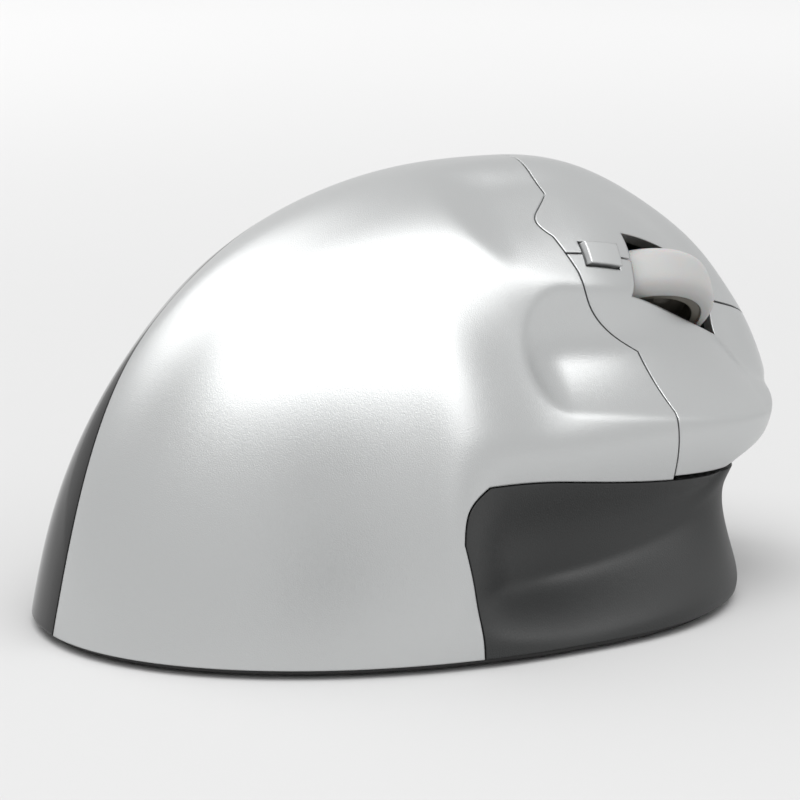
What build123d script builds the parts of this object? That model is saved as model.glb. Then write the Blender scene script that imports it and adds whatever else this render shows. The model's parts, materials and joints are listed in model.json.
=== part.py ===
from build123d import *
import os
import numpy as np

os.makedirs("parts", exist_ok=True)

# ---------------------------------------------------------------- driving dimensions (mm)
HALF_W = 40.0        # half width of the body at its base
HALF_L = 59.0        # half length of the body at its base
HEIGHT = 71.7        # crown above the rim of the shells
RIM = 1.6            # underside of the shells above the desk
ASIDE = -5.5         # moves the body so that it is centred on X
AHEAD = -3.2         # moves the body so that it is centred on Y
WALL = 2.2           # shell thickness
GAP = 0.3            # joint line between fixed shells
TRAVEL_GAP = 0.7     # joint line a button moves towards
PLATE_TOP = 3.1      # top of the base plate

# wheel frame: X runs forward along the slot, Y outwards, Z along the axle
WHEEL_AT = (-0.8, 38.0, 47.5)
FORWARD = (-0.370, 0.865, -0.340)
AXLE = (0.611, -0.049, -0.790)
W = Plane(origin=WHEEL_AT, x_dir=FORWARD, z_dir=AXLE)
WHEEL_R = 15.0
WHEEL_HALF = 4.3
DECK = -17.0         # top of the deck under the wheel, measured along Y of the wheel frame

# thumb buttons: this frame looks straight at them
THUMB = Plane(origin=(-26.3, 1.0, 48.5), x_dir=(0, 1, 0), z_dir=(-0.86, 0, 0.51))


# ---------------------------------------------------------------- the hand-shaped skin
def smooth(start, end, value):
    t = np.clip((value - start) / (end - start), 0.0, 1.0)
    return t ** 3 * (t * (6 * t - 15) + 10)


def bell(value):
    return np.exp(-value * value / 2)


def dome(p, q):
    """Leaning egg-like crown without any finger hollows."""
    w = 1 + p * p + q * q
    dx, dy, dz = 2 * p / w, 2 * q / w, (1 - p * p - q * q) / w
    flat = np.hypot(dx, dy) + 1e-9
    t = (np.abs(dz) ** 2.25 + flat ** 2.25) ** (-1 / 2.25)
    h, s = t * dz, t * flat
    c, k = dx / flat, dy / flat
    u = (np.abs(c) ** 2.1 + np.abs(k) ** 2.1 + 1e-12) ** (-1 / 2.1)
    bx, by = HALF_W * u * c, HALF_L * u * k
    bx = bx * (1 - 0.02 * by / HALF_L)
    up = np.clip(h, 0, 1)
    x = 5.7 - 13.0 * up ** 1.5 + s * bx + 5.2 * s * by / HALF_L
    y = -5.8 + 15.0 * up + 10.0 * up ** 6 + s * by
    y = y + 17.5 * smooth(0, 60, y) * smooth(-0.08, 0.38, h)
    z = HEIGHT * h - 9.0 * smooth(22, 67, y) * smooth(0.3, 0.9, h)
    return np.stack([x, y, z], -1)


def outward(shape, p, q):
    e = 0.002
    u = shape(p + e, q) - shape(p - e, q)
    v = shape(p, q + e) - shape(p, q - e)
    n = np.cross(u, v)
    return n / np.linalg.norm(n, axis=-1, keepdims=True)


def finger_hollow(y, z, start, end, r0, r1, soft):
    """1 at the bottom of a long round hollow between two points, 0 outside it."""
    dy, dz = end[0] - start[0], end[1] - start[1]
    along = ((y - start[0]) * dy + (z - start[1]) * dz) / (dy * dy + dz * dz)
    k = np.clip(along, 0, 1)
    off = (y - start[0] - k * dy) ** 2 + (z - start[1] - k * dz) ** 2
    d2 = off / (r0 + k * (r1 - r0)) ** 2
    f = 1 - d2
    return (np.sqrt(f * f + soft * soft) + f) / 2 * smooth(2.2, 1.0, np.sqrt(d2))


def hollows(s):
    """Depth of every finger, palm and thumb hollow at a point of the dome."""
    x, y, z = s[..., 0], s[..., 1], s[..., 2]
    right = smooth(-6, 14, x)
    shelf = 6.0 * smooth(-12, 18, y) * smooth(66, 44, z) * smooth(-2, 10, z)
    cove = 6.5 * smooth(-12, 6, y) * smooth(36, 14, z) * smooth(1, 11, z)
    toe = 2.8 * smooth(5, 45, y) * bell((z - 5) / 5.5)
    middle = 3.2 * finger_hollow(y, z, (20, 46.5), (66, 41.5), 9.5, 11, 0.12)
    index = 2.2 * finger_hollow(y, z, (15, 68), (70, 53), 10, 9, 0.35) * smooth(-6, 6, x)
    thumb = 14 * smooth(-2, -16, x) * bell((y - 6) / 26) * bell((z - 33) / 13) * smooth(0, 8, z)
    return right * (shelf + cove + middle - toe) + index + thumb


def carved(p, q):
    s = dome(p, q)
    return s - outward(dome, p, q) * hollows(s)[..., None]


def inwards(p, q, depth):
    """Unit normal eased over a patch as wide as the depth, so that tight corners don't fold."""
    e = 0.018 * abs(depth)
    n = 0
    for a in (-e, 0, e):
        for b in (-e, 0, e):
            n = n + outward(carved, p + a, q + b)
    return n / np.linalg.norm(n, axis=-1, keepdims=True)


def skin_solid(depth, floor):
    """Solid inside the skin, with the skin moved inwards by depth, above the floor height."""
    span = np.linspace(-1.27, 1.27, 41)
    steps = [float(i) for i in range(41)]
    rows = []
    for p in span:
        pp = np.full_like(span, p)
        at = carved(pp, span) + np.array([ASIDE, AHEAD, RIM])
        at = at - depth * inwards(pp, span, depth)
        line = Edge.make_spline([Vector(*point) for point in at], parameters=steps)
        rows.append(Wire([line]))
    sheet = Shell.make_loft(rows)
    block = Pos(-90, -110, floor) * Solid.make_box(180, 220, 110)
    halves = split(block, bisect_by=sheet.faces()[0], keep=Keep.BOTH).solids()
    return min(halves, key=lambda s: s.volume)


OUTER = skin_solid(0.0, RIM)
INNER = skin_solid(WALL, 0.0)
MID = skin_solid(WALL - 1.0, 0.6)
INSIDE = skin_solid(WALL + 0.5, 0.6)
PROUD = skin_solid(-0.9, RIM)
FLANGE = skin_solid(1.2, 0.6)


# ---------------------------------------------------------------- shared outlines
def seam_face(forward=0.0, bottom=-5.0, front=110.0):
    """Side view of everything in front of the rear edge of the buttons."""
    with BuildSketch(Plane.YZ) as face:
        with BuildLine():
            a = (20.3 + forward, 95)
            b = (20.6 + forward, 68.4)
            hook = [(18.2 + forward, 66.9), (15.9 + forward, 64.9), (17.6 + forward, 62.8)]
            c = (19.9 + forward, 57.4)
            kink = (31.0 + forward, 43.2)
            d = (34.2 + forward, 34.0)
            e = (34.2 + forward, bottom)
            Line(a, b)
            Spline([b] + hook)
            Line(hook[-1], c)
            Spline([c, (21.5 + forward, 51.7), (25.6 + forward, 46.8), kink])
            Line(kink, d)
            Line(d, e)
            Polyline(e, (front, bottom), (front, 95), a)
        make_face()
    return face.sketch


def panel_face(dy=0.0, dz=0.0):
    """Side view of the dark grip panel."""
    with BuildSketch(Plane.YZ) as face:
        with BuildLine():
            a = (-8.8 + dy, -5)
            b = (-8.9 + dy, 4.7 + dz)
            c = (-10.7 + dy, 19.6 + dz)
            d = (-4.4 + dy, 27.4 + dz)
            e = (6.0 + dy, 26.2 + dz)
            f = (34.5 + dy, 22.4 + dz)
            g = (52.0 + dy, 21.2 + dz)
            h = (110, 20.0 + dz)
            Line(a, b)
            Spline([b, (-9.3 + dy, 11.5 + dz), c])
            Spline([c, (-9.2 + dy, 24.4 + dz), d])
            Spline([d, e, f, g, h])
            Polyline(h, (110, -5), a)
        make_face()
    return face.sketch


def left_face(shift=0.0):
    """Front view of everything on the thumb side of the parting line."""
    with BuildSketch(Plane.XZ) as face:
        with BuildLine():
            pts = [(0.6, -6), (0.2, 8), (-1.4, 18), (-4.2, 28), (-8.0, 38), (-12.6, 48),
                   (-18.6, 58), (-26.5, 68), (-38, 80)]
            pts = [(x + shift, z) for x, z in pts]
            Spline(pts)
            Polyline(pts[-1], (-100, 80), (-100, -6), pts[0])
        make_face()
    return face.sketch


def wheel_slot_face():
    with BuildSketch(W) as face:
        Circle(WHEEL_R + 1.4)
    return face.sketch


def pocket(plane, x0, x1, y0, y1):
    """Rectangle given by its sides on a plane."""
    with BuildSketch(plane) as face:
        with Locations(((x0 + x1) / 2, (y0 + y1) / 2)):
            Rectangle(x1 - x0, y1 - y0)
    return face.sketch


def brick(x0, x1, y0, y1, z0, z1, frame=Plane.XY):
    """Box given by its six sides in a frame."""
    size = Solid.make_box(x1 - x0, y1 - y0, z1 - z0)
    return frame.location * Pos(x0, y0, z0) * size


def rod(x, y, z0, z1, radius, frame=Plane.XY):
    """Cylinder along Z of a frame."""
    body = Solid.make_cylinder(radius, z1 - z0)
    return frame.location * Pos(x, y, z0) * body


def screw_boss(x, y, dx, dy):
    """Screw boss with a rib that runs out to the wall it belongs to."""
    post = rod(x, y, PLATE_TOP, 15.0, 3.2)
    ex, ey = x + 30 * dx, y + 30 * dy
    rib = brick(min(x, ex) - 0.8 * abs(dy), max(x, ex) + 0.8 * abs(dy),
                min(y, ey) - 0.8 * abs(dx), max(y, ey) + 0.8 * abs(dx), PLATE_TOP, 14.0)
    return (post + rib) & MID


def stem(x, z, low, radius):
    """Pusher under a button: a rod along Y of the wheel frame, grown into the skin."""
    along = Plane(origin=W.from_local_coords((x, low, z)), x_dir=W.x_dir, z_dir=W.y_dir)
    return rod(0, 0, 0, 45, radius, along) & MID


# ---------------------------------------------------------------- shells
SCREWS = [(29.0, -16.0, 1, 0), (15.0, -50.0, 0, -1), (-26.0, -30.0, -1, 0), (-26.0, 18.0, -1, 0),
          (18.5, 36.5, 1, 0)]


def make_palm_shell():
    seam, panel, left = seam_face(), panel_face(), left_face()
    with BuildPart() as palm_shell:
        add(OUTER)
        add(INNER, mode=Mode.SUBTRACT)
        extrude(seam, amount=90, both=True, mode=Mode.SUBTRACT)
        extrude(panel, amount=90, both=True, mode=Mode.SUBTRACT)
        extrude(left, amount=120, both=True, mode=Mode.SUBTRACT)
        for place in SCREWS[:2]:
            add(screw_boss(*place))
            add(rod(place[0], place[1], 0, 12, 1.1), mode=Mode.SUBTRACT)
    palm_shell.part.label = "palm_shell"
    export_step(palm_shell.part, "parts/palm_shell.step")


def make_thumb_shell():
    left = left_face(-GAP)
    rear_of_seam = brick(-90, 90, -120, 20.6, -5, 120)
    right_side = rear_of_seam - extrude(left, amount=130, both=True)
    holes = [pocket(THUMB, y0, y1, -3.65, 3.65) for y0, y1 in ((-14.4, 2.7), (4.0, 21.1))]
    with BuildPart() as thumb_shell:
        add(OUTER)
        add(INNER, mode=Mode.SUBTRACT)
        add(right_side, mode=Mode.SUBTRACT)
        add(brick(-20.4, 90, 20.2, 120, -5, 120), mode=Mode.SUBTRACT)
        for place in SCREWS[2:4]:
            add(screw_boss(*place))
            add(rod(place[0], place[1], 0, 12, 1.1), mode=Mode.SUBTRACT)
        for hole in holes:
            extrude(hole, amount=40, both=True, mode=Mode.SUBTRACT)
    thumb_shell.part.label = "thumb_shell"
    export_step(thumb_shell.part, "parts/thumb_shell.step")


def make_grip_panel():
    panel = panel_face(GAP, -GAP)
    with BuildPart() as grip_panel:
        add(OUTER)
        add(INNER, mode=Mode.SUBTRACT)
        extrude(panel, amount=90, both=True, mode=Mode.INTERSECT)
        add(brick(-20.0, 90, -120, 120, -5, 120), mode=Mode.INTERSECT)
        add(screw_boss(*SCREWS[4]))
        add(rod(SCREWS[4][0], SCREWS[4][1], 0, 12, 1.1), mode=Mode.SUBTRACT)
    grip_panel.part.label = "grip_panel"
    export_step(grip_panel.part, "parts/grip_panel.step")


# ---------------------------------------------------------------- buttons
SPLIT = -1.0


def make_index_button():
    seam, slot = seam_face(0.4, 18.0), wheel_slot_face()
    with BuildPart() as index_button:
        add(OUTER)
        add(INNER, mode=Mode.SUBTRACT)
        extrude(seam, amount=90, both=True, mode=Mode.INTERSECT)
        add(brick(-19.6, 90, -120, 120, -5, 120), mode=Mode.INTERSECT)
        add(brick(-90, 90, -90, 90, -90, SPLIT - 0.2, W), mode=Mode.INTERSECT)
        extrude(slot, amount=6.4, both=True, mode=Mode.SUBTRACT)
        add(brick(-23.1, -15.9, -30, 40, -3.5, 1.5, W), mode=Mode.SUBTRACT)
        add(stem(0.0, -11.0, -8.1, 1.6))
    index_button.part.label = "index_button"
    export_step(index_button.part, "parts/index_button.step")


def make_middle_button():
    seam, slot, panel = seam_face(0.4, 18.0), wheel_slot_face(), panel_face(0.0, TRAVEL_GAP)
    with BuildPart() as middle_button:
        add(OUTER)
        add(INNER, mode=Mode.SUBTRACT)
        extrude(seam, amount=90, both=True, mode=Mode.INTERSECT)
        extrude(panel, amount=90, both=True, mode=Mode.SUBTRACT)
        add(brick(-19.6, 90, -120, 120, -5, 120), mode=Mode.INTERSECT)
        add(brick(-90, 90, -90, 90, SPLIT + 0.2, 90, W), mode=Mode.INTERSECT)
        extrude(slot, amount=5.6, both=True, mode=Mode.SUBTRACT)
        add(brick(-23.1, -15.9, -30, 40, -3.5, 1.5, W), mode=Mode.SUBTRACT)
        add(stem(9.5, 12.0, -8.1, 1.6))
    middle_button.part.label = "middle_button"
    export_step(middle_button.part, "parts/middle_button.step")


def make_dpi_button():
    with BuildPart() as dpi_button:
        add(PROUD)
        add(brick(-22.7, -16.3, 3.2, 40, -3.1, 1.1, W), mode=Mode.INTERSECT)
    dpi_button.part.label = "dpi_button"
    export_step(dpi_button.part, "parts/dpi_button.step")


def make_thumb_button(name, y0, y1):
    face = pocket(THUMB, y0, y1, -3.3, 3.3)
    with BuildPart() as thumb_button:
        add(PROUD)
        add(INNER, mode=Mode.SUBTRACT)
        extrude(face, amount=40, both=True, mode=Mode.INTERSECT)
        add(rod((y0 + y1) / 2, 0, -1.7, 14, 1.5, THUMB) & MID)
    thumb_button.part.label = name
    export_step(thumb_button.part, "parts/" + name + ".step")


# ---------------------------------------------------------------- base, feet, screws
BOARD = (-8.0, 20.0, -2.0, 32.0)
BOARD_Z = 8.0
SENSOR = (5.0, 14.0)
STANDOFFS = [(-5.0, 22.0), (17.0, 29.0), (17.0, 1.0), (-5.0, 29.0)]
BAY = (-15.7, 7.7, -53.2, -5.8)
DONGLE = (19.0, -30.0)
POWER = (-4.4, 8.0)
PAIR = (11.5, 4.5)


def make_base_plate():
    with BuildPart() as base_plate:
        add(FLANGE & brick(-90, 90, -120, 120, 0, 1.3))
        add(INSIDE & brick(-90, 90, -120, 120, 1.2, PLATE_TOP))
        for x, y in STANDOFFS:
            add(rod(x, y, PLATE_TOP - 0.5, BOARD_Z, 2.6))
            add(rod(x, y, 4.0, BOARD_Z, 1.0), mode=Mode.SUBTRACT)
        add(brick(BAY[0], BAY[1], BAY[2], BAY[3], -1, 10), mode=Mode.SUBTRACT)
        add(brick(15.0, 23.0, -37.9, -22.1, -1, 10), mode=Mode.SUBTRACT)
        add(brick(0.5, 9.5, 10.5, 17.5, -1, 10), mode=Mode.SUBTRACT)
        add(brick(POWER[0] - 1.8, POWER[0] + 1.8, POWER[1] - 2.0, POWER[1] + 5.0, -1, 10),
            mode=Mode.SUBTRACT)
        add(rod(PAIR[0], PAIR[1], -1, 10, 1.95), mode=Mode.SUBTRACT)
        for x, y, dx, dy in SCREWS:
            add(rod(x, y, -1, 2.0, 2.5), mode=Mode.SUBTRACT)
            add(rod(x, y, -1, 10, 1.2), mode=Mode.SUBTRACT)
    base_plate.part.label = "base_plate"
    export_step(base_plate.part, "parts/base_plate.step")


def make_foot(name, x, y, length, width, turn):
    with BuildPart() as foot:
        with BuildSketch(Plane.XY):
            with Locations(Location((x, y, 0), (0, 0, turn))):
                SlotOverall(length, width)
        extrude(amount=0.6)
        fillet(foot.faces().sort_by(Axis.Z)[0].edges(), radius=0.2)
    foot.part.label = name
    export_step(foot.part, "parts/" + name + ".step")


def make_base_screws():
    with BuildPart() as base_screws:
        for x, y, dx, dy in SCREWS:
            add(rod(x, y, 0.9, 2.0, 2.3))
            add(rod(x, y, 2.0, 9.5, 1.1))
            add(brick(x - 1.4, x + 1.4, y - 0.25, y + 0.25, 0.8, 1.4), mode=Mode.SUBTRACT)
            add(brick(x - 0.25, x + 0.25, y - 1.4, y + 1.4, 0.8, 1.4), mode=Mode.SUBTRACT)
    base_screws.part.label = "base_screws"
    export_step(base_screws.part, "parts/base_screws.step")


# ---------------------------------------------------------------- main board and what it carries
def make_main_pcb():
    with BuildPart() as main_pcb:
        add(brick(BOARD[0], BOARD[1], BOARD[2], BOARD[3], BOARD_Z, BOARD_Z + 1.6))
        fillet(main_pcb.edges().filter_by(Axis.Z), radius=1.5)
        for x, y in STANDOFFS:
            add(rod(x, y, 0, 20, 1.2), mode=Mode.SUBTRACT)
        add(brick(1.5, 8.5, 10.5, 17.5, 0, 20), mode=Mode.SUBTRACT)
    main_pcb.part.label = "main_pcb"
    export_step(main_pcb.part, "parts/main_pcb.step")


def make_pcb_screws():
    with BuildPart() as pcb_screws:
        for x, y in STANDOFFS:
            add(rod(x, y, 4.2, BOARD_Z + 1.6, 1.0))
            add(rod(x, y, BOARD_Z + 1.6, BOARD_Z + 3.0, 2.0))
            add(rod(x, y, BOARD_Z + 2.2, BOARD_Z + 4.0, 0.9), mode=Mode.SUBTRACT)
    pcb_screws.part.label = "pcb_screws"
    export_step(pcb_screws.part, "parts/pcb_screws.step")


def make_sensor_chip():
    x, y = SENSOR
    with BuildPart() as sensor_chip:
        add(brick(x - 5, x + 5, y - 6, y + 6, BOARD_Z + 1.6, BOARD_Z + 4.0))
        chamfer(sensor_chip.faces().sort_by(Axis.Z)[-1].edges(), length=0.4)
        add(rod(x, y, BOARD_Z + 0.8, BOARD_Z + 1.6, 2.0))
    sensor_chip.part.label = "sensor_chip"
    export_step(sensor_chip.part, "parts/sensor_chip.step")


def make_sensor_lens():
    x, y = SENSOR
    with BuildPart() as sensor_lens:
        add(brick(x - 7, x + 7, y - 6, y + 6, PLATE_TOP, PLATE_TOP + 1.4))
        add(brick(x - 4, x + 4, y - 3, y + 3, 1.4, PLATE_TOP))
        add(rod(x, y, PLATE_TOP + 1.4, 7.4, 2.4))
        add(Pos(x, y, 7.0) * Solid.make_sphere(1.4))
    sensor_lens.part.label = "sensor_lens"
    export_step(sensor_lens.part, "parts/sensor_lens.step")


def make_radio_chip():
    with BuildPart() as radio_chip:
        add(brick(2.0, 9.0, 23.0, 30.0, BOARD_Z + 1.6, BOARD_Z + 2.6))
        chamfer(radio_chip.faces().sort_by(Axis.Z)[-1].edges(), length=0.25)
    radio_chip.part.label = "radio_chip"
    export_step(radio_chip.part, "parts/radio_chip.step")


def make_capacitor():
    with BuildPart() as capacitor:
        add(rod(14.0, 22.0, BOARD_Z + 1.6, BOARD_Z + 8.6, 2.5))
        fillet(capacitor.faces().sort_by(Axis.Z)[-1].edges(), radius=0.4)
    capacitor.part.label = "capacitor"
    export_step(capacitor.part, "parts/capacitor.step")


def make_power_switch():
    x, y = POWER
    with BuildPart() as power_switch:
        add(brick(x - 2.2, x + 2.2, y - 3.4, y + 6.4, 4.8, BOARD_Z))
        add(brick(x - 1.05, x + 1.05, y - 1.4, y + 4.4, 4.0, 6.8), mode=Mode.SUBTRACT)
    power_switch.part.label = "power_switch"
    export_step(power_switch.part, "parts/power_switch.step")


def make_power_knob():
    x, y = POWER
    with BuildPart() as power_knob:
        add(brick(x - 1.4, x + 1.4, y - 1.6, y + 1.6, 1.0, 4.2))
        for step in (-0.9, 0.0, 0.9):
            add(brick(x - 2, x + 2, y + step - 0.15, y + step + 0.15, 0.5, 1.3),
                mode=Mode.SUBTRACT)
        add(brick(x - 0.7, x + 0.7, y - 1.0, y + 1.0, 4.2, 6.3))
    power_knob.part.label = "power_knob"
    export_step(power_knob.part, "parts/power_knob.step")


def make_pair_switch():
    x, y = PAIR
    with BuildPart() as pair_switch:
        add(brick(x - 2.6, x + 2.6, y - 2.6, y + 2.6, 5.6, BOARD_Z))
        add(rod(x, y, 5.0, 5.6, 1.3))
    pair_switch.part.label = "pair_switch"
    export_step(pair_switch.part, "parts/pair_switch.step")


def make_pair_button():
    x, y = PAIR
    with BuildPart() as pair_button:
        add(rod(x, y, 1.0, 3.5, 1.6))
        fillet(pair_button.faces().sort_by(Axis.Z)[0].edges(), radius=0.4)
        add(rod(x, y, 3.5, 4.2, 2.4))
    pair_button.part.label = "pair_button"
    export_step(pair_button.part, "parts/pair_button.step")


# ---------------------------------------------------------------- battery bay and receiver
CELL_R = 5.25
CELL_Z = 8.6
CELL_X = (-9.6, 1.6)


def make_battery_tray():
    with BuildPart() as battery_tray:
        add(brick(-17.5, 9.5, -55.0, -4.0, PLATE_TOP, 16.0))
        fillet(battery_tray.edges().filter_by(Axis.Z), radius=1.5)
        add(brick(BAY[0], BAY[1], BAY[2], BAY[3], 0, 14.5), mode=Mode.SUBTRACT)
        add(brick(13.8, 24.2, -39.1, -20.9, PLATE_TOP, 21.4))
        add(brick(9.0, 14.5, -32.0, -28.0, PLATE_TOP, 8.0))
        add(brick(15.0, 23.0, -37.9, -22.1, 0, 20.2), mode=Mode.SUBTRACT)
    battery_tray.part.label = "battery_tray"
    export_step(battery_tray.part, "parts/battery_tray.step")


def make_battery(name, x):
    with BuildPart() as battery:
        along = Plane(origin=(x, -51.0, CELL_Z), z_dir=(0, 1, 0))
        add(rod(0, 0, 0, 43.3, CELL_R, along))
        fillet(battery.edges(), radius=0.6)
        add(rod(0, 0, 43.0, 44.3, 1.9, along))
    battery.part.label = name
    export_step(battery.part, "parts/" + name + ".step")


def make_contact_plates():
    with BuildPart() as contact_plates:
        for x in CELL_X:
            add(brick(x - 4.5, x + 4.5, -6.2, -5.8, 5.0, 13.5))
        add(brick(-14.0, 6.0, -53.2, -52.8, 5.0, 13.5))
    contact_plates.part.label = "contact_plates"
    export_step(contact_plates.part, "parts/contact_plates.step")


def make_contact_springs():
    with BuildPart() as contact_springs:
        for x in CELL_X:
            along = Plane(origin=(x, -52.5, CELL_Z), z_dir=(0, 1, 0))
            for k in range(3):
                ring = Solid.make_torus(3.2 - 0.6 * k, 0.3)
                add(along.location * Pos(0, 0, 0.45 * k) * ring)
    contact_springs.part.label = "contact_springs"
    export_step(contact_springs.part, "parts/contact_springs.step")


def make_battery_door():
    with BuildPart() as battery_door:
        add(brick(BAY[0] + 0.3, BAY[1] - 0.3, BAY[2] + 0.3, BAY[3] - 0.3, 0.7, 2.2))
        fillet(battery_door.edges().filter_by(Axis.Z), radius=0.6)
        for k in range(5):
            y = -12.0 - 1.6 * k
            add(brick(-9.0, 1.0, y, y + 0.8, 0.5, 1.0), mode=Mode.SUBTRACT)
    battery_door.part.label = "battery_door"
    export_step(battery_door.part, "parts/battery_door.step")


def make_receiver_cap():
    x, y = DONGLE
    with BuildPart() as receiver_cap:
        add(brick(x - 3.6, x + 3.6, y - 7.5, y + 7.5, 0.9, 7.4))
        fillet(receiver_cap.edges().filter_by(Axis.Z), radius=1.0)
        add(brick(x - 5, x + 5, y - 3.0, y + 3.0, 0.0, 1.3), mode=Mode.SUBTRACT)
    receiver_cap.part.label = "receiver_cap"
    export_step(receiver_cap.part, "parts/receiver_cap.step")


def make_receiver_plug():
    x, y = DONGLE
    with BuildPart() as receiver_plug:
        add(brick(x - 2.25, x + 2.25, y - 6.0, y + 6.0, 7.4, 19.4))
        add(brick(x - 1.95, x - 0.1, y - 5.7, y + 5.7, 8.4, 19.9), mode=Mode.SUBTRACT)
        for dy in (-2.5, 2.5):
            add(brick(x + 1.0, x + 3.0, y + dy - 1.2, y + dy + 1.2, 12.0, 14.4),
                mode=Mode.SUBTRACT)
    receiver_plug.part.label = "receiver_plug"
    export_step(receiver_plug.part, "parts/receiver_plug.step")


# ---------------------------------------------------------------- frame under the wheel
PIVOT = (-19.0, -6.0)


def upright(x0, x1, y0, y1):
    """Wall from the base plate up to the underside of the tilted deck."""
    wall = brick(x0, x1, y0, y1, PLATE_TOP, 90)
    return wall & brick(-90, 90, -120, DECK - 1.5, -90, 90, W)


def make_chassis():
    with BuildPart() as chassis:
        add(brick(-28, 8, DECK - 1.6, DECK, -14.5, 14.5, W))
        add(brick(8, 19, DECK - 1.6, DECK, -1, 16.0, W))
        add(upright(-17.0, -15.0, 12.0, 34.0))
        add(upright(-20.5, -11.5, 24.0, 26.0))
        add(brick(-21.0, -10.5, 12.0, 34.0, PLATE_TOP, 4.6))
        for z in (-10.4, 8.4):
            add(brick(-24, -16, DECK - 1, -1.2, z, z + 2.0, W))
        add(brick(-25, -16.2, -2.6, -1.2, -10.4, 10.4, W))
        add(rod(PIVOT[0], PIVOT[1], -20, 20, 1.0, W), mode=Mode.SUBTRACT)
    chassis.part.label = "chassis"
    export_step(chassis.part, "parts/chassis.step")


def make_pivot_pin():
    with BuildPart() as pivot_pin:
        add(rod(PIVOT[0], PIVOT[1], -10.9, 10.9, 1.0, W))
    pivot_pin.part.label = "pivot_pin"
    export_step(pivot_pin.part, "parts/pivot_pin.step")


def make_button_pcb():
    with BuildPart() as button_pcb:
        add(brick(-13, 7.5, DECK, DECK + 1.2, -14.5, 14.5, W))
        add(brick(7.5, 18.6, DECK, DECK + 1.2, -0.5, 15.6, W))
        add(brick(-6.5, 5.5, DECK - 1, DECK + 3, -5.2, 4.4, W), mode=Mode.SUBTRACT)
    button_pcb.part.label = "button_pcb"
    export_step(button_pcb.part, "parts/button_pcb.step")


BOARD_Y = DECK + 1.2


def make_micro_switch(name, x, z, pin):
    """Snap switch with a pocket for its plunger."""
    with BuildPart() as micro_switch:
        add(brick(x - 6.4, x + 6.4, BOARD_Y, BOARD_Y + 6.4, z - 2.9, z + 2.9, W))
        chamfer(micro_switch.edges().filter_by(lambda e: e.length > 12), length=0.4)
        add(brick(pin - 1.1, pin + 1.1, BOARD_Y + 4.2, BOARD_Y + 9, z - 1.8, z + 1.8, W),
            mode=Mode.SUBTRACT)
    micro_switch.part.label = name
    export_step(micro_switch.part, "parts/" + name + ".step")


def make_plunger(name, x, z, half_x, half_z, low, high):
    with BuildPart() as plunger:
        add(brick(x - half_x, x + half_x, low, high, z - half_z, z + half_z, W))
    plunger.part.label = name
    export_step(plunger.part, "parts/" + name + ".step")


def make_click_switch():
    with BuildPart() as click_switch:
        add(brick(-1.0, 5.0, BOARD_Y, BOARD_Y + 3.6, 4.7, 9.1, W))
        add(brick(0.6, 3.4, BOARD_Y + 2.2, BOARD_Y + 5, 5.1, 7.9, W), mode=Mode.SUBTRACT)
    click_switch.part.label = "click_switch"
    export_step(click_switch.part, "parts/click_switch.step")


def make_dpi_switch():
    with BuildPart() as dpi_switch:
        add(brick(-22.5, -16.5, -1.2, 1.6, -4.0, 2.0, W))
        add(brick(-20.5, -18.5, 1.6, 2.4, -2.0, 0.0, W))
    dpi_switch.part.label = "dpi_switch"
    export_step(dpi_switch.part, "parts/dpi_switch.step")


# ---------------------------------------------------------------- wheel group
def make_wheel_tyre():
    with BuildPart() as wheel_tyre:
        add(rod(0, 0, -WHEEL_HALF, WHEEL_HALF, WHEEL_R, W))
        fillet(wheel_tyre.edges(), radius=1.6)
        add(rod(0, 0, -9, 9, 12.0, W), mode=Mode.SUBTRACT)
    wheel_tyre.part.label = "wheel_tyre"
    export_step(wheel_tyre.part, "parts/wheel_tyre.step")


def make_wheel_hub():
    with BuildPart() as wheel_hub:
        add(rod(0, 0, -4.0, 4.0, 12.0, W))
        for z0, z1 in ((-9.0, -1.0), (1.0, 9.0)):
            ring = rod(0, 0, z0, z1, 10.4, W) - rod(0, 0, z0, z1, 3.0, W)
            add(ring, mode=Mode.SUBTRACT)
        for k in range(5):
            hole = rod(6.7, 0, -9, 9, 1.9)
            turned = W.location * Rot(0, 0, 72 * k) * hole
            add(turned, mode=Mode.SUBTRACT)
        add(rod(0, 0, -4.9, 4.9, 3.0, W))
        add(rod(0, 0, -20, 20, 1.5, W), mode=Mode.SUBTRACT)
    wheel_hub.part.label = "wheel_hub"
    export_step(wheel_hub.part, "parts/wheel_hub.step")


def make_wheel_axle():
    with BuildPart() as wheel_axle:
        add(rod(0, 0, -7.6, 11.2, 1.5, W))
    wheel_axle.part.label = "wheel_axle"
    export_step(wheel_axle.part, "parts/wheel_axle.step")


def make_wheel_carrier():
    """Fork that holds the wheel and tips about the pivot pin for the wheel click."""
    with BuildPart() as wheel_carrier:
        for z in (-7.0, 5.6):
            with BuildSketch(Plane(origin=W.from_local_coords((0, 0, z)), x_dir=W.x_dir,
                                   z_dir=W.z_dir)):
                with BuildLine():
                    Polyline((-22.0, -4.0), (-22.0, -9.0), (-8.0, -10.6), (7.0, -10.6),
                             (7.0, -6.0), (4.0, 3.6), (-4.0, 3.6), (-9.0, -3.6), (-22.0, -4.0))
                make_face()
            extrude(amount=1.4)
        add(brick(-22.0, -15.2, -8.8, -7.4, -7.0, 7.0, W))
        add(rod(0, 0, -20, 20, 1.55, W), mode=Mode.SUBTRACT)
        add(rod(PIVOT[0], PIVOT[1], -20, 20, 1.05, W), mode=Mode.SUBTRACT)
    wheel_carrier.part.label = "wheel_carrier"
    export_step(wheel_carrier.part, "parts/wheel_carrier.step")


def make_encoder():
    with BuildPart() as encoder:
        add(brick(-4.0, 4.0, -5.0, 3.2, 7.0, 11.6, W))
        chamfer(encoder.edges().filter_by(lambda e: abs(e.length - 4.6) < 0.01), length=1.0)
        add(rod(0, 0, 0, 30, 1.56, W), mode=Mode.SUBTRACT)
    encoder.part.label = "encoder"
    export_step(encoder.part, "parts/encoder.step")


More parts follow.
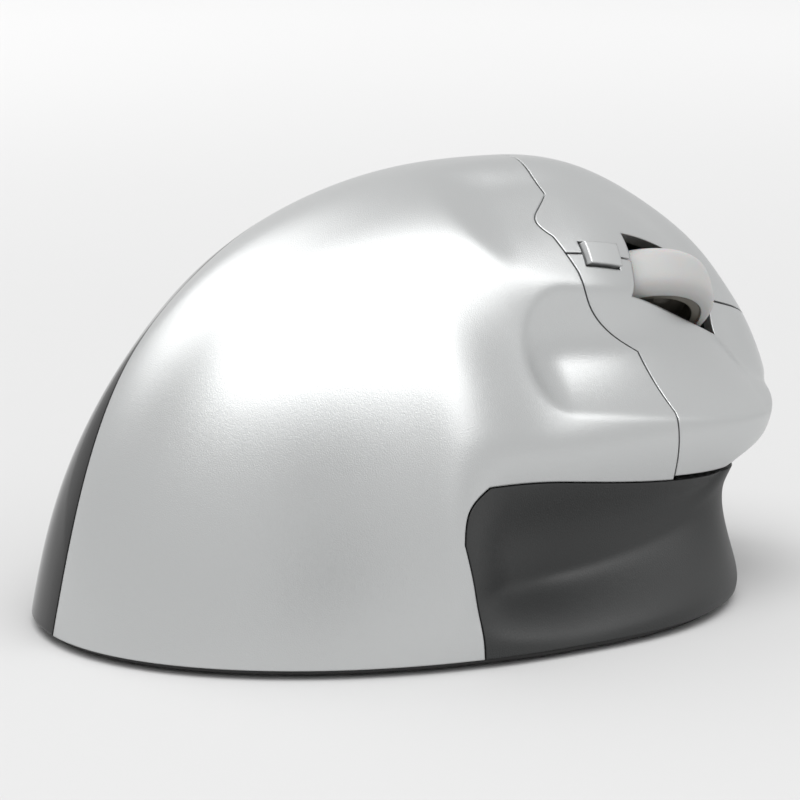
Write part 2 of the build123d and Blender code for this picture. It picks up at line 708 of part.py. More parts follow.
# ---------------------------------------------------------------- thumb switches
def make_thumb_pcb():
    """Small board behind the two thumb buttons, on three legs from the shell."""
    with BuildPart() as thumb_pcb:
        add(brick(-13.0, 20.0, -6.0, 4.0, -6.6, -5.4, THUMB))
        for y in (-12.0, 3.35, 19.0):
            add(rod(y, -4.95, -5.5, 12, 0.9, THUMB) & INNER)
    thumb_pcb.part.label = "thumb_pcb"
    export_step(thumb_pcb.part, "parts/thumb_pcb.step")


def make_thumb_switch(name, y):
    with BuildPart() as thumb_switch:
        add(brick(y - 3, y + 3, -3, 3, -5.4, -2.8, THUMB))
        add(rod(y, 0, -2.8, -2.4, 1.5, THUMB))
    thumb_switch.part.label = name
    export_step(thumb_switch.part, "parts/" + name + ".step")


make_palm_shell()
make_thumb_shell()
make_grip_panel()
make_index_button()
make_middle_button()
make_dpi_button()
make_thumb_button("back_button", -14.05, 2.35)
make_thumb_button("forward_button", 4.35, 20.75)
make_base_plate()
make_foot("foot_front", 4.0, 42.0, 26.0, 6.0, 0)
make_foot("foot_rear", -4.0, -59.0, 26.0, 5.0, 0)
make_foot("foot_right", 26.5, -31.0, 20.0, 4.6, 90)
make_foot("foot_left", -31.0, 0.0, 26.0, 5.0, 90)
make_base_screws()
make_main_pcb()
make_pcb_screws()
make_sensor_chip()
make_sensor_lens()
make_radio_chip()
make_capacitor()
make_power_switch()
make_power_knob()
make_pair_switch()
make_pair_button()
make_battery_tray()
make_battery("battery_a", CELL_X[0])
make_battery("battery_b", CELL_X[1])
make_contact_plates()
make_contact_springs()
make_battery_door()
make_receiver_cap()
make_receiver_plug()
make_chassis()
make_pivot_pin()
make_button_pcb()
make_micro_switch("index_switch", 1.0, -11.0, 0.0)
make_micro_switch("middle_switch", 12.0, 12.0, 9.5)
make_plunger("index_plunger", 0.0, -11.0, 0.8, 1.5, BOARD_Y + 5.2, BOARD_Y + 7.3)
make_plunger("middle_plunger", 9.5, 12.0, 0.8, 1.5, BOARD_Y + 5.2, BOARD_Y + 7.3)
make_click_switch()
make_plunger("click_plunger", 2.0, 6.5, 1.0, 1.0, BOARD_Y + 3.0, BOARD_Y + 4.8)
make_dpi_switch()
make_wheel_tyre()
make_wheel_hub()
make_wheel_axle()
make_wheel_carrier()
make_encoder()
make_thumb_pcb()
make_thumb_switch("back_switch", -5.85)
make_thumb_switch("forward_switch", 12.55)
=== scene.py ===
import bpy
import bmesh
import json
import math
import numpy as np
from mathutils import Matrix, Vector


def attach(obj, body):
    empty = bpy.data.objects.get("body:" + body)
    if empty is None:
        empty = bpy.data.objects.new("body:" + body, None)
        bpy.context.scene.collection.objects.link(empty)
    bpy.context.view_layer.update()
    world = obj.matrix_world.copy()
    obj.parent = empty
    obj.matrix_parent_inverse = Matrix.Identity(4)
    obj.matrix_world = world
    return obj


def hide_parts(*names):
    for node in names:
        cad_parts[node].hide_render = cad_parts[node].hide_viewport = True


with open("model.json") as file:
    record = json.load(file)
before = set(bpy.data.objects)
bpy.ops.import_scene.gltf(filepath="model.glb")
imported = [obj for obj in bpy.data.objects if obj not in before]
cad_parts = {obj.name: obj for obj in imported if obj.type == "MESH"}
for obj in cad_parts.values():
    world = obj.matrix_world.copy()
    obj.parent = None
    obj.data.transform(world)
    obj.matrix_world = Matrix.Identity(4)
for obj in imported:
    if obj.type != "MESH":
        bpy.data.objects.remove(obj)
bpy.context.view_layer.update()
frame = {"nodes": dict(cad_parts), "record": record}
NODES = frame["nodes"]
SLOT_OF = {s["node"]: s["material_slot"] for s in frame["record"]["subparts"]}
MM = 0.001

# ------------------------------------------------------------------ driving dimensions, in mm
HALF_W = 40.0        # half width of the body at its base
HALF_L = 59.0        # half length of the body at its base
HEIGHT = 71.7        # crown above the rim of the shells
RIM = 1.6            # underside of the shells above the desk
ASIDE = -5.5         # moves the body so that it is centred on X
AHEAD = -3.2         # moves the body so that it is centred on Y
WALL = 2.2           # shell thickness
RAISED = 0.9         # height of the small keys above the skin
GAP = 0.3            # joint line between fixed shells
SEAM_GAP = 0.28      # joint line behind the finger buttons
SPLIT_GAP = 0.4      # joint line between the two finger buttons
TRAVEL_GAP = 0.7     # joint line that the middle button moves towards
SLOT_GAP = 1.4       # clearance round the tread of the wheel
FAR = 200            # reach of a cutter that passes through everything
DEEP = -60           # underside of the solids that the shells are cut from
SPAN = 1.27          # the skin runs from -SPAN to SPAN in both of its parameters
EASE = 0.018         # patch over which a normal is eased, for each millimetre of depth
PAST_NOSE = 110      # the outlines of cutters run on to these places clear of the body
PAST_THUMB = -100
OVER_TOP = 95
UNDER = -5


# ------------------------------------------------------------------ the hand-shaped skin


def smooth(a, b, v):
    """Eased step from 0 at a to 1 at b."""
    t = np.clip((v - a) / (b - a), 0.0, 1.0)
    return t ** 3 * (t * (6 * t - 15) + 10)


def bell(v):
    return np.exp(-v * v / 2)


def dome(p, q):
    """Leaning egg-like crown without any finger hollows."""
    w = 1 + p * p + q * q
    dx, dy, dz = 2 * p / w, 2 * q / w, (1 - p * p - q * q) / w
    flat = np.hypot(dx, dy) + 1e-9
    t = (np.abs(dz) ** 2.25 + flat ** 2.25) ** (-1 / 2.25)
    h, s = t * dz, t * flat
    c, k = dx / flat, dy / flat
    u = (np.abs(c) ** 2.1 + np.abs(k) ** 2.1 + 1e-12) ** (-1 / 2.1)
    bx, by = HALF_W * u * c, HALF_L * u * k
    bx = bx * (1 - 0.02 * by / HALF_L)
    up = np.clip(h, 0, 1)
    x = 5.7 - 13.0 * up ** 1.5 + s * bx + 5.2 * s * by / HALF_L
    y = -5.8 + 15.0 * up + 10.0 * up ** 6 + s * by
    y = y + 17.5 * smooth(0, 60, y) * smooth(-0.08, 0.38, h)
    z = HEIGHT * h - 9.0 * smooth(22, 67, y) * smooth(0.3, 0.9, h)
    return np.stack([x, y, z], -1)


def outward(shape, p, q):
    e = 0.002
    n = np.cross(shape(p + e, q) - shape(p - e, q), shape(p, q + e) - shape(p, q - e))
    return n / np.linalg.norm(n, axis=-1, keepdims=True)


def finger_hollow(y, z, a, b, r0, r1, soft):
    """1 at the bottom of a long round hollow between two points, 0 outside it."""
    dy, dz = b[0] - a[0], b[1] - a[1]
    k = np.clip(((y - a[0]) * dy + (z - a[1]) * dz) / (dy * dy + dz * dz), 0, 1)
    off = (y - a[0] - k * dy) ** 2 + (z - a[1] - k * dz) ** 2
    d2 = off / (r0 + k * (r1 - r0)) ** 2
    f = 1 - d2
    return (np.sqrt(f * f + soft * soft) + f) / 2 * smooth(2.2, 1.0, np.sqrt(d2))


def hollows(s):
    """Depth of every finger, palm and thumb hollow at a point of the dome."""
    x, y, z = s[..., 0], s[..., 1], s[..., 2]
    right = smooth(-6, 14, x)
    shelf = 6.0 * smooth(-12, 18, y) * smooth(66, 44, z) * smooth(-2, 10, z)
    cove = 6.5 * smooth(-12, 6, y) * smooth(36, 14, z) * smooth(1, 11, z)
    toe = 2.8 * smooth(5, 45, y) * bell((z - 5) / 5.5)
    middle = 3.2 * finger_hollow(y, z, (20, 46.5), (66, 41.5), 9.5, 11, 0.12)
    index = 2.2 * finger_hollow(y, z, (15, 68), (70, 53), 10, 9, 0.35) * smooth(-6, 6, x)
    thumb = 14 * smooth(-2, -16, x) * bell((y - 6) / 26) * bell((z - 33) / 13) * smooth(0, 8, z)
    return right * (shelf + cove + middle - toe) + index + thumb


def carved(p, q):
    s = dome(p, q)
    return s - outward(dome, p, q) * hollows(s)[..., None]


def skin(p, q, depth):
    """Points of the skin moved inwards by depth along eased normals."""
    at = carved(p, q) + np.array([ASIDE, AHEAD, RIM])
    if depth == 0:
        return at
    e = EASE * abs(depth)
    n = sum(outward(carved, p + a, q + b) for a in (-e, 0, e) for b in (-e, 0, e))
    return at - depth * n / np.linalg.norm(n, axis=-1, keepdims=True)


# ------------------------------------------------------------------ mesh helpers, in mm
def mesh_object(name, verts, faces):
    mesh = bpy.data.meshes.new(name)
    mesh.from_pydata((np.asarray(verts) * MM).tolist(), [], faces)
    mesh.validate()
    obj = bpy.data.objects.new(name, mesh)
    bpy.context.collection.objects.link(obj)
    return obj


def drop(obj):
    mesh = obj.data
    bpy.data.objects.remove(obj)
    bpy.data.meshes.remove(mesh)


def skin_block(name, depth, n):
    """Closed solid inside the skin moved inwards by depth."""
    g = np.linspace(-SPAN, SPAN, n)
    p, q = np.meshgrid(g, g, indexing="ij")
    top = skin(p, q, depth).reshape(-1, 3)
    i = np.arange(n * n).reshape(n, n)
    quads = np.stack([i[:-1, :-1], i[1:, :-1], i[1:, 1:], i[:-1, 1:]], -1).reshape(-1, 4)
    edge = np.concatenate([i[:, 0], i[-1, 1:], i[-2::-1, -1], i[0, -2:0:-1]])
    low = top[edge].copy()
    low[:, 2] = DEEP
    k = len(edge)
    base = n * n + np.arange(k)
    verts = np.concatenate([top, low, [[0, 0, DEEP]]])
    faces = quads.tolist()
    for j in range(k):
        m = (j + 1) % k
        faces.append([int(edge[m]), int(edge[j]), int(base[j]), int(base[m])])
        faces.append([int(base[m]), int(base[j]), n * n + k])
    obj = mesh_object(name, verts, faces)
    recalc(obj)
    return obj


def recalc(obj):
    bm = bmesh.new()
    bm.from_mesh(obj.data)
    bmesh.ops.recalc_face_normals(bm, faces=bm.faces)
    bm.to_mesh(obj.data)
    bm.free()


def axes_of(origin, x_dir, z_dir):
    """Origin and unit X, Y, Z of a frame."""
    z = np.array(z_dir, float)
    z /= np.linalg.norm(z)
    x = np.array(x_dir, float)
    x -= z * (x @ z)
    x /= np.linalg.norm(x)
    return np.array(origin, float), x, np.cross(z, x), z


UPRIGHT = axes_of((0, 0, 0), (1, 0, 0), (0, 0, 1))
# SIDE looks along X and FRONT along Y; in W, X runs forward along the slot, Y outwards and
# Z along the axle; THUMB looks straight at the thumb keys
SIDE = axes_of((0, 0, 0), (0, 1, 0), (1, 0, 0))
FRONT = axes_of((0, 0, 0), (1, 0, 0), (0, -1, 0))
W = axes_of((-0.8, 38.0, 47.5), (-0.370, 0.865, -0.340), (0.611, -0.049, -0.790))
THUMB = axes_of((-26.3, 1.0, 48.5), (0, 1, 0), (-0.86, 0, 0.51))
WHEEL_R, WHEEL_HALF = 15.0, 4.3


def prism(name, outline, frame_axes, low, high):
    """Closed prism over an outline, along Z of a frame."""
    o, x, y, z = frame_axes
    pts = np.array(outline, float)
    n = len(pts)
    flat = o + pts[:, :1] * x + pts[:, 1:] * y
    verts = np.concatenate([flat + low * z, flat + high * z])
    faces = [list(range(n)), list(range(2 * n - 1, n - 1, -1))]
    for j in range(n):
        m = (j + 1) % n
        faces.append([j, m, n + m, n + j])
    obj = mesh_object(name, verts, faces)
    bm = bmesh.new()
    bm.from_mesh(obj.data)
    bmesh.ops.triangulate(bm, faces=[f for f in bm.faces if len(f.verts) > 4])
    bmesh.ops.recalc_face_normals(bm, faces=bm.faces)
    bm.to_mesh(obj.data)
    bm.free()
    return obj


def box_mm(name, x0, x1, y0, y1, z0, z1, frame_axes=UPRIGHT):
    """Box given by its six sides in a frame."""
    return prism(name, [(x0, y0), (x1, y0), (x1, y1), (x0, y1)], frame_axes, z0, z1)


def through(points, steps=14):
    """Natural cubic spline through points."""
    pts = np.array(points, float)
    t = np.concatenate([[0], np.cumsum(np.linalg.norm(np.diff(pts, axis=0), axis=1))])
    n = len(pts)
    h = np.diff(t)
    a = np.zeros((n, n))
    b = np.zeros((n, 2))
    a[0, 0] = a[-1, -1] = 1
    for i in range(1, n - 1):
        a[i, i - 1], a[i, i], a[i, i + 1] = h[i - 1], 2 * (h[i - 1] + h[i]), h[i]
        b[i] = 6 * ((pts[i + 1] - pts[i]) / h[i] - (pts[i] - pts[i - 1]) / h[i - 1])
    m = np.linalg.solve(a, b)
    out = []
    for i in range(n - 1):
        for s in np.linspace(0, 1, steps, endpoint=False):
            u, v = s * h[i], (1 - s) * h[i]
            out.append((m[i] * v ** 3 + m[i + 1] * u ** 3) / (6 * h[i])
                       + (pts[i] / h[i] - m[i] * h[i] / 6) * v
                       + (pts[i + 1] / h[i] - m[i + 1] * h[i] / 6) * u)
    out.append(pts[-1])
    return [tuple(v) for v in out]


def seam_outline(f=0.0, bottom=UNDER):
    """Side view of everything in front of the rear edge of the buttons."""
    hook = [(20.6 + f, 68.4), (18.2 + f, 66.9), (15.9 + f, 64.9), (17.6 + f, 62.8)]
    lower = [(19.9 + f, 57.4), (21.5 + f, 51.7), (25.6 + f, 46.8), (31.0 + f, 43.2)]
    return ([(20.3 + f, OVER_TOP)] + through(hook) + through(lower)
            + [(34.2 + f, 34.0), (34.2 + f, bottom), (PAST_NOSE, bottom), (PAST_NOSE, OVER_TOP)])


def panel_outline(dy=0.0, dz=0.0):
    """Side view of the dark grip panel."""
    b, c, d = (-8.9 + dy, 4.7 + dz), (-10.7 + dy, 19.6 + dz), (-4.4 + dy, 27.4 + dz)
    top = [d, (6.0 + dy, 26.2 + dz), (34.5 + dy, 22.4 + dz), (52.0 + dy, 21.2 + dz),
           (PAST_NOSE, 20.0 + dz)]
    return ([(-8.8 + dy, UNDER)] + through([b, (-9.3 + dy, 11.5 + dz), c])[:-1]
            + through([c, (-9.2 + dy, 24.4 + dz), d])[:-1] + through(top) + [(PAST_NOSE, UNDER)])


def left_outline(shift=0.0):
    """Front view of everything on the thumb side of the parting line."""
    pts = [(0.6, -6), (0.2, 8), (-1.4, 18), (-4.2, 28), (-8.0, 38), (-12.6, 48),
           (-18.6, 58), (-26.5, 68), (-38, 80)]
    return through([(x + shift, z) for x, z in pts]) + [(PAST_THUMB, 80), (PAST_THUMB, -6)]


def circle(r, n=96):
    return [(r * math.cos(2 * math.pi * k / n), r * math.sin(2 * math.pi * k / n)) for k in range(n)]


SHARP_SHELL = 32                 # degrees; edges bent more than this are shaded as sharp
SHARP_TYRE = 40


def carve(source, name, steps):
    """Copy of a solid, cut by steps of (operation, cutter); the cutters are used up."""
    obj = bpy.data.objects.new(name, source.data.copy())
    bpy.context.collection.objects.link(obj)
    for operation, cutter in steps:
        m = obj.modifiers.new("cut", "BOOLEAN")
        m.operation = operation
        m.solver = "MANIFOLD"
        m.object = cutter
    depsgraph = bpy.context.evaluated_depsgraph_get()
    mesh = bpy.data.meshes.new_from_object(obj.evaluated_get(depsgraph))
    old = obj.data
    obj.modifiers.clear()
    obj.data = mesh
    bpy.data.meshes.remove(old)
    for _, cutter in steps:
        drop(cutter)
    mesh.polygons.foreach_set("use_smooth", np.ones(len(mesh.polygons), bool))
    mesh.set_sharp_from_angle(angle=math.radians(SHARP_SHELL))
    mesh.update()
    return obj


CUT, KEEP = "DIFFERENCE", "INTERSECT"


# ------------------------------------------------------------------ shells and buttons
GRID = 440
NOSE_SIDE = -20.0                # the thumb shell stops here in front of the seam
NOSE_GAP = 0.4                   # from that stop to the thumb shell and to the finger buttons
REAR_SEAM = 20.6                 # upper end of the seam behind the finger buttons
NOSE_BACK = 20.2                 # where that stop begins
KEY_HOLES = {"back_button": (-14.4, 2.7), "forward_button": (4.0, 21.1)}
KEY_HALF = 3.65                  # half height of those holes
KEY_GAP = 0.35                   # between a thumb key and its hole
KEY_REACH = 40                   # passes the wall on the thumb side, not the one across from it
SPLIT = -1.0                     # plane between the finger buttons, along the axle
INDEX_SLOT = 6.4                 # reach of the wheel's slot into each finger button
MIDDLE_SLOT = 5.6
DPI_HOLE = (-23.1, -15.9, -3.5, 1.5)
DPI_GAP = 0.4                    # between the small silver key and its hole
DPI_LOW = 3.2                    # underside of the small key
HOLE_LOW, HOLE_TOP = -30, 40     # a cutter for its hole, from under the wall to clear of the skin
BUTTON_LOW = 18.0                # the seam's outline ends here, under the finger buttons


outer = skin_block("outer", 0.0, GRID)
inner = skin_block("inner", WALL, GRID // 2)
shell = carve(outer, "shell", [
    (CUT, inner), (KEEP, box_mm("s", -FAR, FAR, -FAR, FAR, RIM, FAR))])

visual = {}
visual["palm_shell"] = carve(shell, "v_palm_shell", [
    (CUT, prism("c1", seam_outline(), SIDE, -FAR, FAR)),
    (CUT, prism("c2", panel_outline(), SIDE, -FAR, FAR)),
    (CUT, prism("c3", left_outline(), FRONT, -FAR, FAR))])
behind = box_mm("behind", -FAR, FAR, -FAR, REAR_SEAM, DEEP, FAR + 10)
visual["thumb_shell"] = carve(shell, "v_thumb_shell", [
    (CUT, carve(behind, "k1", [
        (CUT, prism("c1", left_outline(-GAP), FRONT, -FAR - 20, FAR + 20))])),
    (CUT, box_mm("c2", NOSE_SIDE - NOSE_GAP, FAR + 10, NOSE_BACK, FAR + 10, DEEP, FAR + 10))] + [
    (CUT, box_mm("c3", y0, y1, -KEY_HALF, KEY_HALF, -KEY_REACH, KEY_REACH, THUMB))
    for y0, y1 in KEY_HOLES.values()])
drop(behind)
visual["grip_panel"] = carve(shell, "v_grip_panel", [
    (KEEP, prism("c1", panel_outline(GAP, -GAP), SIDE, NOSE_SIDE, FAR))])


def button(name, low, high, half, bottom):
    """Finger button between two planes across the axle; bottom: it ends above the panel."""
    x0, x1, z0, z1 = DPI_HOLE
    steps = [(KEEP, prism("c1", seam_outline(SEAM_GAP, BUTTON_LOW), SIDE, NOSE_SIDE + NOSE_GAP, FAR)),
             (KEEP, box_mm("c2", -FAR, FAR, -FAR, FAR, low, high, W)),
             (CUT, prism("c3", circle(WHEEL_R + SLOT_GAP), W, -half, half)),
             (CUT, box_mm("c4", x0, x1, HOLE_LOW, HOLE_TOP, z0, z1, W))]
    if bottom:
        steps.append((CUT, prism("c5", panel_outline(0.0, TRAVEL_GAP), SIDE, -FAR, FAR)))
    return carve(shell, name, steps)


visual["index_button"] = button("v_index_button", -FAR, SPLIT - SPLIT_GAP / 2, INDEX_SLOT, False)
visual["middle_button"] = button("v_middle_button", SPLIT + SPLIT_GAP / 2, FAR, MIDDLE_SLOT, True)
drop(shell)
drop(outer)
proud = skin_block("proud", -RAISED, GRID)
hollow = skin_block("hollow", WALL, GRID // 2)
cap = carve(proud, "cap", [(CUT, hollow)])
visual["dpi_button"] = carve(proud, "v_dpi_button", [
    (KEEP, box_mm("c1", DPI_HOLE[0] + DPI_GAP, DPI_HOLE[1] - DPI_GAP, DPI_LOW, HOLE_TOP,
                  DPI_HOLE[2] + DPI_GAP, DPI_HOLE[3] - DPI_GAP, W))])
for node, (y0, y1) in KEY_HOLES.items():
    visual[node] = carve(cap, "v_" + node, [
        (KEEP, box_mm("c1", y0 + KEY_GAP, y1 - KEY_GAP, KEY_GAP - KEY_HALF, KEY_HALF - KEY_GAP,
                      -KEY_REACH, KEY_REACH, THUMB))])
drop(cap)
drop(proud)


def lathe(name, profile, frame_axes, n=160):
    """Closed ring turned about Z of a frame from a closed profile of (radius, height)."""
    o, x, y, z = frame_axes
    m = len(profile)
    verts, faces = [], []
    for k in range(n):
        a = 2 * math.pi * k / n
        out = x * math.cos(a) + y * math.sin(a)
        verts += [o + out * r + z * h for r, h in profile]
    for k in range(n):
        for j in range(m):
            a, b, t = k * m, (k + 1) % n * m, (j + 1) % m
            faces.append([a + j, b + j, b + t, a + t])
    obj = mesh_object(name, verts, faces)
    recalc(obj)
    mesh = obj.data
    mesh.polygons.foreach_set("use_smooth", np.ones(len(mesh.polygons), bool))
    mesh.set_sharp_from_angle(angle=math.radians(SHARP_TYRE))
    return obj


BORE_R = 12.05                   # just clear of the hub
SHOULDER, CROWN = 1.5, 0.35      # how far the tread falls at its shoulders and over its width
TREAD_STEPS = 24


def tyre_profile():
    """Barrel-shaped tread with soft shoulders over a plain bore."""
    pts = []
    for k in range(TREAD_STEPS + 1):
        h = WHEEL_HALF * (2 * k / TREAD_STEPS - 1)
        t = abs(h) / WHEEL_HALF
        pts.append((WHEEL_R - SHOULDER * t ** 5 - CROWN * t ** 2, h))
    return [(BORE_R, -WHEEL_HALF)] + pts + [(BORE_R, WHEEL_HALF)]


visual["wheel_tyre"] = lathe("v_wheel_tyre", tyre_profile(), W)

BODY_OF = {n: b for b, names in frame["record"]["behaviour"]["bodies"].items() for n in names}
for node, piece in visual.items():
    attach(piece, BODY_OF[node])
    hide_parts(node)


# ------------------------------------------------------------------ materials
def socket(tree, name):
    return tree.nodes["Principled BSDF"].inputs[name]


COAT_ROUGH = 0.1
GRAIN_HEIGHT = 0.0001            # metres
SUB_DEPTH = 0.002                # metres


def material(name, colour, rough, metallic=0.0, spread=0.06, patch=18.0, grain=0.0,
             grain_size=2600.0, coat=0.0, edge=0.0004, sub=0.0, rough_spread=0.05):
    """Finish whose colour, roughness and surface vary a little over the piece."""
    m = bpy.data.materials.new(name)
    m.use_nodes = True
    tree = m.node_tree
    new, link = tree.nodes.new, tree.links.new
    where = new("ShaderNodeTexCoord")
    wide = new("ShaderNodeTexNoise")
    wide.inputs["Scale"].default_value = patch
    wide.inputs["Detail"].default_value = 5
    link(where.outputs["Object"], wide.inputs["Vector"])
    tint = new("ShaderNodeMix")
    tint.data_type = "RGBA"
    tint.inputs["A"].default_value = [c * (1 - spread) for c in colour] + [1]
    tint.inputs["B"].default_value = [min(1, c * (1 + spread)) for c in colour] + [1]
    link(wide.outputs["Fac"], tint.inputs["Factor"])
    link(tint.outputs["Result"], socket(tree, "Base Color"))
    fine = new("ShaderNodeTexNoise")
    fine.inputs["Scale"].default_value = grain_size
    fine.inputs["Detail"].default_value = 3
    link(where.outputs["Object"], fine.inputs["Vector"])
    dull = new("ShaderNodeMapRange")
    dull.inputs["To Min"].default_value = max(0.02, rough - rough_spread)
    dull.inputs["To Max"].default_value = min(1, rough + rough_spread)
    link(wide.outputs["Fac"], dull.inputs["Value"])
    link(dull.outputs["Result"], socket(tree, "Roughness"))
    bump = new("ShaderNodeBump")
    bump.inputs["Strength"].default_value = grain
    bump.inputs["Distance"].default_value = GRAIN_HEIGHT
    link(fine.outputs["Fac"], bump.inputs["Height"])
    if edge > 0:
        soft = new("ShaderNodeBevel")
        soft.samples = 6
        soft.inputs["Radius"].default_value = edge
        link(soft.outputs["Normal"], bump.inputs["Normal"])
    link(bump.outputs["Normal"], socket(tree, "Normal"))
    socket(tree, "Metallic").default_value = metallic
    socket(tree, "Coat Weight").default_value = coat
    socket(tree, "Coat Roughness").default_value = COAT_ROUGH
    socket(tree, "Subsurface Weight").default_value = sub
    socket(tree, "Subsurface Scale").default_value = SUB_DEPTH
    return m


FINISH = {
    "silver_shell": dict(colour=(0.58, 0.59, 0.59), rough=0.29, metallic=0.9, spread=0.03, patch=30.0,
                         grain=0.35, grain_size=5200, rough_spread=0.02),
    "silver_small": dict(colour=(0.58, 0.59, 0.59), rough=0.32, metallic=0.85, spread=0.02, grain=0.2),
    "black_gloss": dict(colour=(0.004, 0.004, 0.004), rough=0.13),
    "thumb_keys": dict(colour=(0.016, 0.016, 0.017), rough=0.22, coat=0.3),
    "grip_rubber": dict(colour=(0.018, 0.019, 0.019), rough=0.44, grain=0.5, grain_size=3800, spread=0.1),
    "base_black": dict(colour=(0.016, 0.016, 0.016), rough=0.5, grain=0.5, grain_size=3000),
    "glide_white": dict(colour=(0.72, 0.72, 0.70), rough=0.45, grain=0.1),
    "screw_steel": dict(colour=(0.42, 0.42, 0.43), rough=0.35, metallic=1.0, grain=0.2, edge=0.0001),
    "board_green": dict(colour=(0.015, 0.13, 0.055), rough=0.35, coat=0.4, edge=0.0),
    "chip_black": dict(colour=(0.02, 0.02, 0.022), rough=0.5, grain=0.4, edge=0.0001),
    "capacitor_sleeve": dict(colour=(0.02, 0.03, 0.10), rough=0.3, coat=0.3),
    "lens_clear": dict(colour=(0.85, 0.89, 0.92), rough=0.08),
    "plunger_white": dict(colour=(0.70, 0.69, 0.64), rough=0.45, sub=0.1, edge=0.0001),
    "frame_black": dict(colour=(0.025, 0.025, 0.026), rough=0.45, grain=0.3),
    "nickel": dict(colour=(0.62, 0.61, 0.58), rough=0.22, metallic=1.0, edge=0.0001),
    "cell_label": dict(colour=(0.26, 0.27, 0.29), rough=0.3, coat=0.5),
    "axle_steel": dict(colour=(0.5, 0.5, 0.51), rough=0.25, metallic=1.0, edge=0.0001),
    "wheel_rubber": dict(colour=(0.43, 0.43, 0.425), rough=0.45, sub=0.35, grain=0.15, spread=0.03),
    # painted shade: the hub is off-white, and its colour is darkened for the shade it sits in
    "hub_white": dict(colour=(0.13, 0.12, 0.10), rough=0.5),
}
MATERIALS = {name: material(name, **kw) for name, kw in FINISH.items()}
socket(MATERIALS["lens_clear"].node_tree, "Transmission Weight").default_value = 0.9
socket(MATERIALS["black_gloss"].node_tree, "Specular IOR Level").default_value = 0.3

for node, obj in NODES.items():
    obj.data.materials.clear()
    obj.data.materials.append(MATERIALS[SLOT_OF[node]])
for node, piece in visual.items():
    piece.data.materials.clear()
    piece.data.materials.append(MATERIALS[SLOT_OF[node]])

# ------------------------------------------------------------------ floor, lights, camera
AIM_HEIGHT = 33.6                # millimetres
AIM = Vector((ASIDE, AHEAD, AIM_HEIGHT)) * MM    # where the camera and the lamps point
CARD_SIDES, CARD_THICK = 48, 20
VIEW_FROM = (66, 13)             # degrees round and above
VIEW_DISTANCE = 0.480
FIELD = 16.2                     # degrees across the frame
SENSOR = 36                      # millimetres
FLOOR_HALF = 9000                # millimetres


def direction(azimuth, elevation):
    """Unit vector from the object towards a place round and above it."""
    a, e = math.radians(azimuth), math.radians(elevation)
    return Vector((math.sin(a) * math.cos(e), -math.cos(a) * math.cos(e), math.sin(e)))


floor = mesh_object("floor", [(-FLOOR_HALF, -FLOOR_HALF, 0), (FLOOR_HALF, -FLOOR_HALF, 0),
                              (FLOOR_HALF, FLOOR_HALF, 0), (-FLOOR_HALF, FLOOR_HALF, 0)],
                    [[0, 1, 2, 3]])
PAPER = material("paper", (0.55, 0.55, 0.55), 0.9, spread=0.01, patch=3.0, edge=0.0)
floor.data.materials.append(PAPER)


def painted_light_far_off(m, near, far, gain):
    """Paper painted lighter between two distances from the object, in metres: painted light in place of
    the brighter light that falls on the paper far off.
    """
    tree = m.node_tree
    new, link = tree.nodes.new, tree.links.new
    where = new("ShaderNodeTexCoord")
    reach = new("ShaderNodeVectorMath")
    reach.operation = "LENGTH"
    link(where.outputs["Object"], reach.inputs[0])
    fade = new("ShaderNodeMapRange")
    fade.interpolation_type = "SMOOTHSTEP"
    fade.inputs["From Min"].default_value = near
    fade.inputs["From Max"].default_value = far
    fade.inputs["To Max"].default_value = gain
    link(reach.outputs["Value"], fade.inputs["Value"])
    plain = socket(tree, "Base Color").links[0].from_socket
    painted_light = new("ShaderNodeMix")
    painted_light.data_type = "RGBA"
    painted_light.blend_type = "ADD"
    painted_light.inputs["Factor"].default_value = 1.0
    link(plain, painted_light.inputs["A"])
    link(fade.outputs["Result"], painted_light.inputs["B"])
    link(painted_light.outputs["Result"], socket(tree, "Base Color"))


# painted light: the paper's colour is made lighter far from the object
painted_light_far_off(PAPER, 0.15, 1.3, 0.22)

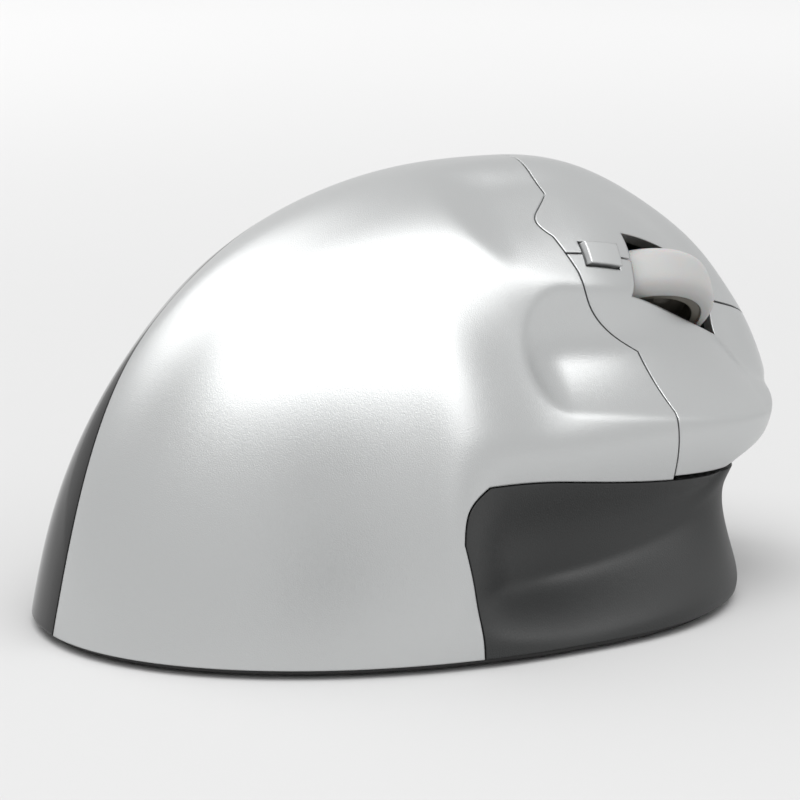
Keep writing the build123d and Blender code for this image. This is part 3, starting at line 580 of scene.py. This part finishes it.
SURROUND = 0.75                  # even light from all round
world = bpy.data.worlds.new("studio")
bpy.context.scene.world = world
world.use_nodes = True
world.node_tree.nodes["Background"].inputs["Color"].default_value = (1, 1, 1, 1)
world.node_tree.nodes["Background"].inputs["Strength"].default_value = SURROUND


def softbox(name, azimuth, elevation, distance, width, height, power):
    """Rectangular lamp that faces the object."""
    light = bpy.data.lights.new(name, "AREA")
    light.shape = "RECTANGLE"
    light.size = width
    light.size_y = height
    light.energy = power
    obj = bpy.data.objects.new(name, light)
    bpy.context.collection.objects.link(obj)
    obj.location = AIM + direction(azimuth, elevation) * distance
    obj.rotation_euler = (AIM - obj.location).to_track_quat("-Z", "Y").to_euler()


softbox("overhead", 50, 78, 2.2, 2.7, 1.8, 40.0)
softbox("front_right", 130, 46, 1.6, 0.7, 0.9, 3.2)
softbox("rear_left", -65, 42, 1.6, 1.0, 0.9, 4.2)


def dark_card(name, azimuth, elevation, distance, radius):
    """Round dark card near the camera's side, which puts a soft dark patch in the paint."""
    o = np.array((AIM + direction(azimuth, elevation) * distance)[:]) / MM
    toward = direction(azimuth, elevation)
    obj = prism(name, circle(radius / MM, CARD_SIDES),
                axes_of(o, (-toward.y, toward.x, 0), toward), 0, CARD_THICK)
    obj.visible_camera = False
    obj.visible_shadow = False
    obj.visible_diffuse = False
    obj.data.materials.append(material(name, (0.05, 0.05, 0.05), 0.7, edge=0.0))


dark_card("card_low", 68, 11, 0.58, 0.055)
dark_card("card_high", 62, 41, 1.1, 0.13)

camera = bpy.data.cameras.new("camera")
camera.sensor_width = SENSOR
camera.lens = SENSOR / 2 / math.tan(math.radians(FIELD / 2))
camera.clip_start = 0.01
camera.clip_end = 20
eye = bpy.data.objects.new("camera", camera)
bpy.context.collection.objects.link(eye)
eye.location = AIM + direction(*VIEW_FROM) * VIEW_DISTANCE
eye.rotation_euler = (AIM - eye.location).to_track_quat("-Z", "Y").to_euler()
bpy.context.scene.camera = eye
bpy.context.scene.view_settings.view_transform = "Standard"
